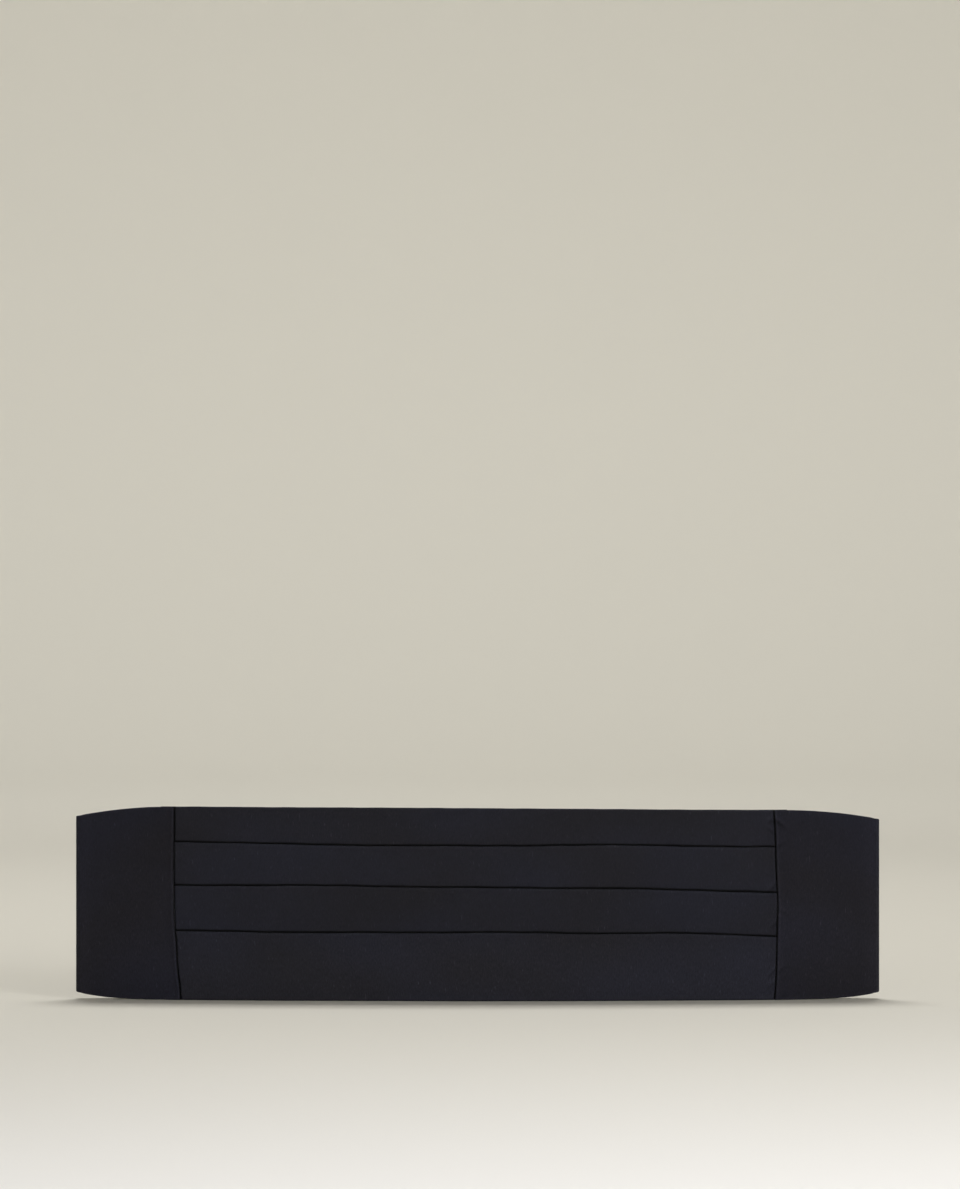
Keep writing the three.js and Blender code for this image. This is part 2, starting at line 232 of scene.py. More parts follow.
def curve(xs, ys, x):
    """A smooth line through a table's points."""
    xs, ys = np.asarray(xs, float), np.asarray(ys, float)
    slopes = np.empty_like(xs)
    slopes[1:-1] = (ys[2:] - ys[:-2]) / (xs[2:] - xs[:-2])
    slopes[0] = (ys[1] - ys[0]) / (xs[1] - xs[0])
    slopes[-1] = (ys[-1] - ys[-2]) / (xs[-1] - xs[-2])
    x = np.asarray(x, float)
    i = np.clip(np.searchsorted(xs, x, side="right") - 1, 0, len(xs) - 2)
    span = xs[i + 1] - xs[i]
    t = np.clip((x - xs[i]) / span, 0, 1)
    ends = ys[i] * (1 + 2 * t) * (1 - t) ** 2 + ys[i + 1] * t * t * (3 - 2 * t)
    return ends + span * t * (1 - t) * (slopes[i] * (1 - t) - slopes[i + 1] * t)


def ramp(x, a, b):
    """0 up to a, 1 from b, smooth between."""
    t = np.clip((np.asarray(x, float) - a) / (b - a), 0, 1)
    return t * t * (3 - 2 * t)


def bell(x, centre, width):
    return np.exp(-(((x - centre) / width) ** 2))


def ripple(x, waves):
    """A sum of sines: each wave is (length, height, phase)."""
    return sum(h * np.sin(2 * np.pi * np.asarray(x, float) / w + p) for w, h, p in waves)


def spaced(a, b, step):
    """Even values from a to b, at most a step apart."""
    return np.linspace(a, b, max(2, math.ceil(abs(b - a) / step) + 1))


def half_turn(steps):
    """Angles from 0 to pi, without the two ends."""
    return np.linspace(0, math.pi, steps + 2)[1:-1]


# the loop


def arc(bow):
    """An arc's radius and half angle, between the end folds."""
    radius = (FOLD_CENTRE**2 / (bow - FOLD_RADIUS) + FOLD_RADIUS + bow) / 2
    return radius, math.asin(FOLD_CENTRE / (radius - FOLD_RADIUS))


FOLD_CENTRE = WIDTH / 2 - FOLD_RADIUS - SIDE_OUTSIDE
FRONT_R, FRONT_A = arc(FRONT_BOW)
BACK_R, BACK_A = arc(BACK_BOW)
FOLD_START = FRONT_R * FRONT_A
FOLD_END = FOLD_START + FOLD_RADIUS * (math.pi - FRONT_A - BACK_A)
HALF_LOOP = FOLD_END + BACK_R * BACK_A


def wrap(along, depth, height):
    """Flat cloth to space, in metres. The back sags until the clasp rests on the floor."""
    along, depth, height = np.broadcast_arrays(*(np.asarray(v, float) for v in (along, depth, height)))
    turned = np.where(along > HALF_LOOP, along - 2 * HALF_LOOP, along)
    way = np.abs(turned)
    places = [way <= FOLD_START, way <= FOLD_END]
    folding = FRONT_A + (way - FOLD_START) / FOLD_RADIUS
    angle = np.select(places, [way / FRONT_R, folding], np.pi - BACK_A + (way - FOLD_END) / BACK_R)
    radius = np.select(places, [FRONT_R, FOLD_RADIUS], BACK_R)
    centre_x = np.select(places, [0.0, FOLD_CENTRE], 0.0)
    centre_y = np.select(places, [FRONT_R - FRONT_BOW, 0.0], BACK_BOW - BACK_R)
    x = np.where(turned < 0, -1.0, 1.0) * (centre_x + (radius + depth) * np.sin(angle))
    y = centre_y - (radius + depth) * np.cos(angle) + LOOP_BACK
    sag = ramp(way, FOLD_END, HALF_LOOP - CLASP_LENGTH) * (HEIGHT - CLASP_HEIGHT) / 2
    return np.stack([x, y, height - sag], -1) / 1000.0


def seam_shift(side, height):
    """How far a seam lies to the right of its place, at a height."""
    table = LEFT_SEAM if side < 0 else RIGHT_SEAM
    return curve(SEAM_AT, table, np.clip(np.asarray(height, float) / HEIGHT, 0, 1)) * HEIGHT


# meshes


def mesh_object(name, verts, faces, materials):
    mesh = bpy.data.meshes.new(name)
    mesh.from_pydata(verts, [], faces)
    mesh.polygons.foreach_set("use_smooth", [True] * len(faces))
    for material in materials:
        mesh.materials.append(material)
    mesh.update()
    thing = bpy.data.objects.new(name, mesh)
    bpy.context.scene.collection.objects.link(thing)
    return thing


def cloth_uv(points, along, corners):
    """A tube's own coordinates in metres, for its quads and then its caps: along it and round it."""
    closed = np.concatenate([points, points[:, :1]], axis=1)
    steps = np.linalg.norm(np.diff(closed, axis=1), axis=2)
    around = np.pad(np.cumsum(steps, axis=1), ((0, 0), (1, 0)))
    own = np.stack([np.broadcast_to(along / 1000.0, around.shape), around], -1)
    quad_uv = np.stack([own[s, p] for s, p in corners], 1).reshape(-1, 2)
    cap_uv = np.concatenate([own[0, :-1][::-1], own[-1, :-1]])
    return np.concatenate([quad_uv, cap_uv]).ravel()


def tube(name, points, along, materials, lining=None, painted_shade=0.0, painted_light=0.0):
    """A closed tube of cloth through points[station, place round the section].

    Kept on the points: painted shade for folds and crevices, and painted light for edges and low hems.
    """
    stations, places = points.shape[:2]
    i, j = np.indices((stations - 1, places)).reshape(2, -1)
    corners = ((i, j), (i, j + 1), (i + 1, j + 1), (i + 1, j))
    quads = np.stack([s * places + p % places for s, p in corners], -1).tolist()
    caps = [list(range(places))[::-1], list(range((stations - 1) * places, stations * places))]
    thing = mesh_object(name, points.reshape(-1, 3).tolist(), quads + caps, materials)
    mesh = thing.data
    if lining is not None:
        kinds = lining.astype(int)[j].tolist() + [0, 0]
        mesh.polygons.foreach_set("material_index", kinds)
    mesh.uv_layers.new(name="cloth").data.foreach_set("uv", cloth_uv(points, along, corners))
    for key, value in (("painted_shade", painted_shade), ("painted_light", painted_light)):
        spread = np.broadcast_to(value, (stations, places)).astype(np.float32)
        mesh.attributes.new(key, "FLOAT", "POINT").data.foreach_set("value", spread.ravel())
    return thing


# the pleated front: four bands of cloth between folded edges that open upwards


def place(low, high, share=0.0, offset=0.0, depth=0.0, lining=0, painted_shade=0.0, painted_light=0.0):
    """A place round the front's section, between two of its five lines, counted from below."""
    return low, high, share, offset, depth, lining, painted_shade, painted_light


def band_relief(above, band, foot, head):
    """A band's depth: it leans out to its own folded edge, with a slight roll and a dip below."""
    lean = foot + (head - foot) * above / band
    return lean + BAND_ROLL * bell(band - above, 1.5, 1.1) - BAND_DIP * bell(band - above, 5.5, 2.6)


def band_rows(level, band, foot, head, head_round):
    """Down a band's face, from under its own folded edge to where the next one covers it."""
    rows = []
    bottom = PLEAT_TURN if level else EDGE_ROUND
    near_top = band - head_round - np.array([0.0, 0.5, 1.0, 1.7, 2.6, 3.8, 5.2])
    near_foot = bottom + np.array([2.4, 1.6, 1.0, 0.5, 0.0])
    middle = spaced(near_top[-1] - 1.4, bottom + 3.6, 1.3)
    for above in np.concatenate([near_top, middle, near_foot]):
        # painted shade at each band's foot, under the next folded edge
        painted_shade = 1 - ramp(above, 0.6, 2.1) if level else 0.0
        # painted light: the lowest band is lighter towards its foot
        painted_foot_light = 0.0 if level else 0.25 + 0.9 * (1 - above / band)
        # painted highlight just under the band's own folded edge
        painted_light = 0.35 * bell(band - above, 0.5, 1.0) + painted_foot_light
        depth = band_relief(above, band, foot, head)
        rows.append(place(level, level + 1, above / band, 0.0, depth, 0, painted_shade, painted_light))
    if level:
        # painted shade all down the roll into the pocket
        for t in np.linspace(0, math.pi / 2, 9)[1:]:
            above = PLEAT_TURN * (1 - math.sin(t))
            depth = POCKET_BACK + (band_relief(above, band, foot, head) - POCKET_BACK) * math.cos(t)
            rows.append(place(level, level + 1, above / band, 0.0, depth, painted_shade=1.0))
    return rows


def pocket_rows(level):
    """Down behind a folded edge, up inside its flap and over its rounded fold."""
    # painted shade all through the pocket; over the flap's fold, painted shade on its inner half and a
    # painted highlight on its crown
    rows = [place(level, level, 0.0, -down, POCKET_BACK, painted_shade=1.0) for down in (1.0, 3.0, 6.0, 9.0)]
    rows.append(place(level, level, 0.0, -PLEAT_HIDDEN, (POCKET_BACK + FLAP_INSIDE) / 2, painted_shade=1.0))
    rows += [place(level, level, 0.0, -down, FLAP_INSIDE, painted_shade=1.0) for down in (9.0, 6.0, 3.0, 1.2)]
    crown = (FRONT_PROUD - FLAP_INSIDE) / 2
    for t in half_turn(9):
        depth = FLAP_INSIDE + crown * (1 - math.cos(t))
        rows.append(place(level, level, 0.0, crown * (math.sin(t) - 1), depth, 0,
                          max(0.0, math.cos(t)), 0.2 + 0.4 * math.sin(t)))
    return rows


def front_section():
    """All places round the section: up the lining, over the top edge, down the four bands."""
    # the bands' heights near the front's middle, which the stations then stretch to their own
    lines = [0.0] + [line[3] * HEIGHT for line in (LOWER_LINE, MIDDLE_LINE, UPPER_LINE, TOP_LINE)]
    rows = [place(0, 4, share, lining=1) for share in np.linspace(0.012, 0.988, 26)]
    # painted highlight over the rounded top edge
    for t in half_turn(9):
        depth = FRONT_TOP / 2 * (1 - math.cos(t))
        rows.append(place(4, 4, 0.0, TOP_ROUND * (math.sin(t) - 1), depth, painted_light=0.5 * math.sin(t)))
    flap_round = (FRONT_PROUD - FLAP_INSIDE) / 2
    for level in (3, 2, 1, 0):
        band = lines[level + 1] - lines[level]
        foot = BAND_FOOT if level else LOWER_EDGE
        head = FRONT_TOP if level == 3 else FRONT_PROUD - BAND_ROLL
        rows += band_rows(level, band, foot, head, TOP_ROUND if level == 3 else flap_round)
        if level:
            rows += pocket_rows(level)
    # painted highlight over the rounded lower edge
    for t in half_turn(9)[::-1]:
        depth = LOWER_EDGE / 2 * (1 - math.cos(t))
        rows.append(place(0, 0, 0.0, EDGE_ROUND * (1 - math.sin(t)), depth, painted_light=0.3 * math.sin(t)))
    return np.array(rows, float).T


def front_lines(at):
    """Heights of the lower edge, the three folded edges and the upper edge, at each station."""
    lines = [np.zeros_like(at)]
    for k, table in enumerate((LOWER_LINE, MIDDLE_LINE, UPPER_LINE, TOP_LINE)):
        size = 1.0 if k < 3 else 0.4
        long_wave = (97 + 13 * k, 0.14 * size, 1.3 * k)
        short_wave = (41 - 3 * k, 0.07 * size, 2.1 * k + 0.4)
        waves = [long_wave, short_wave, (17 + k, 0.03, k)]
        lines.append(curve(LINES_AT, table, at) * HEIGHT + ripple(at * HALF_FRONT, waves))
    return np.stack(lines, -1)


def gathers(height, inside, pulls):
    """Short slanting pulls beside a seam, each a ridge with a hollow under it."""
    relief = np.zeros(np.broadcast(height, inside).shape)
    for middle, slope, size in pulls:
        slanted = height + slope * (inside - 3.0)
        hollow = 0.8 * bell(slanted, middle - 2 * PULL_WIDTH, PULL_WIDTH)
        ridge = bell(slanted, middle, PULL_WIDTH) - hollow
        relief = relief + size * bell(inside, 2.4, PULL_REACH) * ridge
    return relief


def front_unevenness(along, height, depth, inside):
    """The bands' fullness, the puckers beside the seams and the slow sway of the whole front."""
    full = ripple(along, [(143, 0.10, 0.3), (67, 0.07, 1.7), (31, 0.03, 4.0)])
    full = full + ripple(along + 1.9 * height, [(118, 0.07, 2.2), (53, 0.04, 0.9)])
    depth = depth * (1 + 0.55 * full * ramp(depth, 1.2, 2.4))
    pucker = ripple(height + 0.4 * along, [(9.5, 0.10, 0.5), (6.1, 0.06, 2.0)])
    pucker = pucker * np.exp(-np.abs(inside - 3) / 5)
    depth = depth + pucker * ramp(depth, 1.0, 2.2)
    sway = ripple(along + 0.25 * height, [(187, 0.30, 0.9), (96, 0.14, 2.6), (49, 0.05, 5.1)])
    sway = sway + ripple(height, [(160, 0.22, 1.1)]) * ripple(along, [(260, 1.0, 0.4)])
    return depth + sway * ramp(inside, 0, 35)


def front_stations():
    """Distances from the front's middle, close together at the seams, and on behind the panels."""
    near = np.array([0.0, 0.12, 0.25, 0.4, 0.6, 0.85, 1.15, 1.5, 2.0, 2.6, 3.4, 4.4, 5.6, 7.0, 8.6])
    beyond = np.array([UNDER_PANEL, 7.0, 4.5, 2.5, 1.2, 0.5])
    right = np.concatenate([HALF_FRONT + beyond, HALF_FRONT - near])[::-1]
    seam_zone = 10.2
    middle = spaced(seam_zone - HALF_FRONT, HALF_FRONT - seam_zone, 1.65)
    return np.concatenate([-right[::-1], middle, right])[:, None]


def pleated_front(materials):
    """The front from seam to seam, with its section at each station."""
    stations = front_stations()
    low, high, share, offset, depth, lining, painted_shade, painted_light = front_section()
    low, high = low.astype(int), high.astype(int)
    lines = front_lines(np.clip(stations[:, 0] / HALF_FRONT, -1, 1))
    height = lines[:, low] + share * (lines[:, high] - lines[:, low]) + offset
    inside = HALF_FRONT - np.abs(stations)
    gathered = gathers(height, inside, FRONT_PULLS) * (stations > 0) * ramp(depth, 1.0, 2.2)
    depth = front_unevenness(stations, height, depth, inside) + gathered
    # painted highlight on the pulls' ridges, painted shade in their hollows
    painted_light = painted_light + PULL_PAINTED_LIGHT * np.maximum(gathered, 0)
    # the painted shade line under a folded edge swells and thins along the edge
    swell = np.where(painted_shade < 1, 1 + ripple(stations + 40 * low, [(83, 0.30, 0.7), (29, 0.20, 2.2)]), 1)
    painted_shade = np.clip(painted_shade * swell + PULL_PAINTED_SHADE * np.maximum(-gathered, 0), 0, 1)
    # beside the seams the cloth dives under the side panels' folded edges
    depth = depth * (0.30 + 0.70 * np.sqrt(np.clip((inside - 0.2) / 0.9, 0, 1)))
    # painted shade in the crevice at the seams, with the painted light taken off there
    hidden = 1 - ramp(inside, 0.2, 0.95)
    across = np.clip(stations / HALF_FRONT / 2 + 0.5, 0, 1)
    along = stations + (1 - across) * seam_shift(-1, height) + across * seam_shift(1, height)
    points = wrap(along, depth, height)
    return tube("front_cloth", points, stations, materials, lining,
                np.maximum(painted_shade, hidden * (depth > 0.4)), painted_light * (1 - hidden))


# the side panels, from the seams round the end folds to their narrow ends at the back


def side_section():
    """Columns: share of the height, rise over an edge, inner to outer face, lining or not."""
    shares = np.linspace(0.0, 1.0, 84)
    rows = [(share, 0.0, -1.0, 1) for share in shares]
    rows += [(1.0, math.sin(t), -math.cos(t), 0) for t in half_turn(7)]
    rows += [(share, 0.0, 1.0, 0) for share in shares[::-1]]
    rows += [(0.0, -math.sin(t), math.cos(t), 0) for t in half_turn(7)]
    return np.array(rows).T


def side_stations():
    """Distances from the front's middle, close together at the seam, the end fold and the end."""
    rounded = [0.0, 0.04, 0.12, 0.25, 0.42, 0.62, 0.85, 1.1, 1.4, 1.75]
    edge = np.array(rounded + [2.15, 2.6, 3.2, 3.9, 4.7, 5.6, 6.8, 8.2])
    seam = HALF_FRONT + SEAM_GAP
    end = seam + SIDE_LENGTH
    parts = [
        seam + edge,
        spaced(seam + 10, FOLD_START - 3, 2.2),
        spaced(FOLD_START - 2.4, FOLD_END + 2.4, 0.22),
        spaced(FOLD_END + 3.2, end - 10, 2.2),
        (end - edge)[::-1],
    ]
    return np.concatenate(parts), seam, end


def side_heights(side, way, from_seam, share, rise):
    """Each place's share of the seam's height, its height in the flat cloth and as it stands, and
    its distance from the nearer hem.
    """
    top = float(curve(LINES_AT, TOP_LINE, float(side))) * HEIGHT
    cut = SIDE_EDGE + share * (top - 2 * SIDE_EDGE) + rise * SIDE_EDGE
    narrow = 1 - curve(TAPER_AT, TAPER, from_seam / SIDE_LENGTH) * (1 - SIDE_END_HEIGHT / top)
    narrow = narrow * (1 - FOLD_CORNER / (top / 2) * bell(way, (FOLD_START + FOLD_END) / 2, 2.2))
    height = top / 2 + narrow * (cut - top / 2) + rise * SIDE_EDGE * (1 - narrow)
    # each panel hangs a little lower at its end fold
    rising = 1 - ramp(way, FOLD_END + 5, FOLD_END + 70)
    height = height - SIDE_DROOP * ramp(from_seam, 10, 55) * rising
    return cut / top, cut, height, np.minimum(cut, top - cut) * narrow


def side_relief(from_seam, from_end, from_hem, fold):
    """The turned seam edge, narrow end and hems each stand up in a small roll with a dip behind."""
    relief = 0.30 * bell(from_seam, 1.25, 0.95) - 0.16 * bell(from_seam, 4.6, 1.9)
    relief = relief + 0.14 * bell(from_end, 1.2, 1.0) - 0.08 * bell(from_end, 4.5, 1.8)
    hem = 0.10 * bell(from_hem, 1.5, 1.2) - 0.07 * bell(from_hem, 5.0, 2.2)
    return relief + hem * (1 - fold)


def side_panel(side, materials):
    """A side panel, left for a side of -1 and right for 1."""
    share, rise, facing, lining = side_section()
    stations, seam, end = side_stations()
    way = stations[:, None] if side > 0 else stations[::-1, None]
    from_seam, from_end = way - seam, end - way
    up, cut, height, from_hem = side_heights(side, way, from_seam, share, rise)
    fold = ramp(way, FOLD_START - 9, FOLD_START - 2) * (1 - ramp(way, FOLD_END + 2, FOLD_END + 9))
    outer = np.maximum(facing, 0)
    pucker = ripple(height + 0.3 * from_seam, [(8.7, 0.09, 1.1 + side), (5.3, 0.05, 0.3)])
    pucker = pucker * np.exp(-np.abs(from_seam - 2) / 4)
    relief = (side_relief(from_seam, from_end, from_hem, fold) + pucker) * outer
    gathered = gathers(height, from_seam, SIDE_PULLS) * (side > 0) * outer
    sway = ripple(from_seam + 0.3 * height, [(71, 0.12, 0.5 * side), (37, 0.06, 1.9)])
    sway = sway * ramp(from_seam, 3, 22) * ramp(from_end, 4, 40) * (1 - fold)
    half = (SIDE_OUTSIDE - OUTER_LAYER) / 2
    from_edge = np.clip(np.minimum(from_seam, from_end) / SIDE_EDGE, 0.002, 1)
    rounded = half * np.sqrt(1 - (1 - from_edge) ** 2)
    depth = OUTER_LAYER + half + facing * rounded + relief + gathered + sway
    way = way if side > 0 else -way
    along = way + ramp(45 - from_seam, 0, 45) * seam_shift(side, cut)
    # painted shade in the crevice at the seam and in the pulls' hollows
    hidden = 1 - ramp(from_seam, 0.1, 0.5)
    painted_shade = np.clip(hidden + PULL_PAINTED_SHADE * np.maximum(-gathered, 0), 0, 1)
    # painted highlight on the raised seam edge, stronger on the right, on the hems and over the end
    # fold; painted light growing towards the lower hem
    seam_highlight = (1.5 if side > 0 else 0.9) * bell(from_seam, 1.0, 0.5)
    lightened = seam_highlight + 0.7 * (1 - up) + 0.4 * bell(from_hem, 0.8, 0.9) + 0.3 * fold
    painted_light = PULL_PAINTED_LIGHT * np.maximum(gathered, 0) + outer * lightened
    name = "side_panel_cloth_" + ("left" if side < 0 else "right")
    points = wrap(along, depth, height)
    return tube(name, points, way, materials, lining, painted_shade, painted_light)


# the straps, each from behind a side panel, through the clasp's slot and turned back on itself


def strap_line():
    """The strap's middle line as (distance from the clasp's middle, depth)."""
    half = STRAP_THICKNESS / 2
    bar = CLASP_LENGTH / 2 - CLASP_BAR
    outward = OUTER_LAYER + CLASP_THICKNESS + CLEARANCE + half
    turn = (outward - half) / 2
    start = HALF_LOOP - HALF_FRONT - CLEARANCE - SIDE_LENGTH + STRAP_LAP
    under = [(start, half), ((start + bar) / 2, half), (bar + 3, half), (bar, half)]
    around = [(bar - turn * math.sin(t), half + turn * (1 - math.cos(t))) for t in half_turn(11)]
    lowered = STRAP_THICKNESS + CLEARANCE + half
    over = [(bar, outward), (CLASP_LENGTH / 2 + 0.6, outward)]
    over += [(CLASP_LENGTH / 2 + STRAP_RETURN / 4, lowered), (bar + STRAP_RETURN, lowered)]
    tail = np.array(over)[1:]
    for _ in range(3):
        quarters = [(p * 0.75 + q * 0.25, p * 0.25 + q * 0.75) for p, q in zip(tail[:-1], tail[1:])]
        tail = np.array([tail[0], *(point for pair in quarters for point in pair), tail[-1]])
    return np.concatenate([under, around, over[:1], tail])


def strap_section():
    """Columns: place across the strap, rise over its edge, back to front face."""
    half = STRAP_THICKNESS / 2
    flat = STRAP_WIDTH / 2 - half
    shares = np.linspace(-1, 1, 25)
    rows = [(share * flat, 0.0, -1.0) for share in shares]
    rows += [(flat, math.sin(t), -math.cos(t)) for t in half_turn(5)]
    rows += [(share * flat, 0.0, 1.0) for share in shares[::-1]]
    rows += [(-flat, -math.sin(t), math.cos(t)) for t in half_turn(5)]
    return np.array(rows).T, flat


def strap(side, materials):
    """A strap and its length."""
    line = strap_line()
    length = np.pad(np.cumsum(np.linalg.norm(np.diff(line, axis=0), axis=1)), (1, 0))
    total = length[-1]
    edge = np.array([0.0, 0.05, 0.15, 0.3])
    straight = spaced(0.6, total - 45, 1.6)
    turned = spaced(total - 44, total - 0.6, 0.5)
    ways = np.concatenate([edge, straight, turned, (total - edge)[::-1]])
    route = np.stack([np.interp(ways, length, line[:, k]) for k in (0, 1)], -1)
    heading = np.gradient(route, axis=0)
    heading /= np.linalg.norm(heading, axis=1)[:, None]
    (across, rise, facing), flat = strap_section()
    half = STRAP_THICKNESS / 2
    from_end = np.clip(np.minimum(ways, total - ways)[:, None] / half, 0.01, 1)
    thickness = half * 0.96 * np.sqrt(1 - (1 - from_end) ** 2)
    # a woven strap's edge cords stand up a little
    cords = 1 + 0.07 * bell(np.abs(across), flat - 1.2, 0.7)
    offset = facing * thickness * cords
    height = HEIGHT / 2 + across + rise * half
    distance = route[:, :1] - offset * heading[:, 1:]
    depth = route[:, 1:] + offset * heading[:, :1]
    if side > 0:
        distance, depth, ways = distance[::-1], depth[::-1], ways[::-1]
    points = wrap(HALF_LOOP - side * distance, depth, height)
    name = "strap_webbing_" + ("left" if side < 0 else "right")
    return tube(name, points, ways[:, None], materials), total


# the clasp


def rounded_rectangle(half_x, half_z, corner, centre=0.0, steps=6):
    """A ring of (x, z)."""
    ring = []
    for quarter, (sx, sz) in enumerate(((1, 1), (-1, 1), (-1, -1), (1, -1))):
        for k in range(steps + 1):
            t = math.pi / 2 * (quarter + k / steps)
            ring.append((centre + sx * (half_x - corner) + corner * math.cos(t),
                         sz * (half_z - corner) + corner * math.sin(t)))
    return ring


def clasp_outline():
    """The plate's outline and its two slots, as one flat curve that is filled and bevelled."""
    half_length, half_height = CLASP_LENGTH / 2, CLASP_HEIGHT / 2
    rings = [rounded_rectangle(half_length - CLASP_BEVEL, half_height - CLASP_BEVEL, CLASP_CORNER)]
    slot_middle = half_length - CLASP_BAR - CLASP_SLOT / 2
    slot_half = STRAP_WIDTH / 2 + CLEARANCE + CLASP_BEVEL
    slot_wide = CLASP_SLOT / 2 + CLASP_BEVEL * 0.6
    for side in (-1, 1):
        rings.append(rounded_rectangle(slot_wide, slot_half, SLOT_CORNER, side * slot_middle, 4))
    outline = bpy.data.curves.new("clasp_outline", "CURVE")
    outline.dimensions = "2D"
    outline.fill_mode = "BOTH"
    for ring in rings:
        spline = outline.splines.new("POLY")
        spline.points.add(len(ring) - 1)
        spline.points.foreach_set("co", [c for x, z in ring for c in (x, z, 0.0, 1.0)])
        spline.use_cyclic_u = True
    outline.extrude = CLASP_THICKNESS / 2 - CLASP_BEVEL
    outline.bevel_depth = CLASP_BEVEL
    outline.bevel_resolution = 3
    return outline


def clasp_plate(material):
    """The plate, bent to the loop's curve."""
    drawn = bpy.data.objects.new("clasp_outline", clasp_outline())
    bpy.context.scene.collection.objects.link(drawn)
    evaluated = drawn.evaluated_get(bpy.context.evaluated_depsgraph_get())
    mesh = bpy.data.meshes.new_from_object(evaluated)
    bpy.data.objects.remove(drawn)
    mesh.name = "clasp_plate"
    flat = np.empty(len(mesh.vertices) * 3)
    mesh.vertices.foreach_get("co", flat)
    x, z, out = flat.reshape(-1, 3).T
    points = wrap(HALF_LOOP + x, OUTER_LAYER + CLASP_THICKNESS / 2 + out, HEIGHT / 2 + z)
    mesh.vertices.foreach_set("co", points.ravel())
    mesh.polygons.foreach_set("use_smooth", [True] * len(mesh.polygons))
    mesh.flip_normals()
    mesh.materials.append(material)
    mesh.update()
    plate = bpy.data.objects.new("clasp_plate", mesh)
    bpy.context.scene.collection.objects.link(plate)
    return plate


# stitches


def stitch_row(start, end, depth, pitch=2.7):
    """Stitches between two points of (along, height), each as (along, height, turn, depth)."""
    run, climb = end[0] - start[0], end[1] - start[1]
    count = max(1, round(math.hypot(run, climb) / pitch))
    shares = [(k + 0.5) / count for k in range(count)]
    turn = math.atan2(climb, run)
    return [(start[0] + s * run, start[1] + s * climb, turn, depth) for s in shares]


def stitches(name, places, material, half_length=1.05, radius=0.19, sides=6, rings=5):
    """Floats of thread, each an oval bead bent down into the cloth at both ends."""
    verts, faces = [], []
    t = np.arange(sides) * 2 * math.pi / sides
    u = np.linspace(-1, 1, rings)[:, None]
    thick = radius * np.sqrt(np.maximum(0.04, 1 - u * u))
    bend = 0.16 * (1 - u * u) - 0.10
    for along, height, turn, depth in places:
        ahead, aside = half_length * u + 0 * t, thick * np.cos(t)
        a = along + ahead * math.cos(turn) - aside * math.sin(turn)
        z = height + ahead * math.sin(turn) + aside * math.cos(turn)
        base = len(verts)
        verts += wrap(a, depth + bend + thick * np.sin(t), z).reshape(-1, 3).tolist()
        for low in range(base, base + (rings - 1) * sides, sides):
            pairs = [(low + k, low + (k + 1) % sides) for k in range(sides)]
            faces += [[p, q, q + sides, p + sides] for p, q in pairs]
        faces.append([base + k for k in reversed(range(sides))])
        faces.append([base + (rings - 1) * sides + k for k in range(sides)])
    return mesh_object(name, verts, faces, [material])


def strap_stitches(side, material):
    """A box and a cross where the strap is sewn to its panel, and two rows over its turned end."""
    panel_end = HALF_FRONT + SEAM_GAP + SIDE_LENGTH
    near, far = side * (panel_end - BOX_NEAR), side * (panel_end - BOX_FAR)
    low = HEIGHT / 2 - STRAP_WIDTH / 2 + STITCH_MARGIN
    high = HEIGHT / 2 + STRAP_WIDTH / 2 - STITCH_MARGIN
    corners = [(near, low), (near, high), (far, high), (far, low)]
    places = []
    for start, end in ((0, 1), (1, 2), (2, 3), (3, 0), (0, 2), (1, 3)):
        places += stitch_row(corners[start], corners[end], SIDE_OUTSIDE + 0.04)
    for back in END_ROWS:
        along = side * (HALF_LOOP - CLASP_LENGTH / 2 + CLASP_BAR - STRAP_RETURN + back)
        places += stitch_row((along, low), (along, high), STRAP_THICKNESS * 2 + CLEARANCE + 0.02)
    return stitches("strap_thread_" + ("left" if side < 0 else "right"), places, material)


# materials


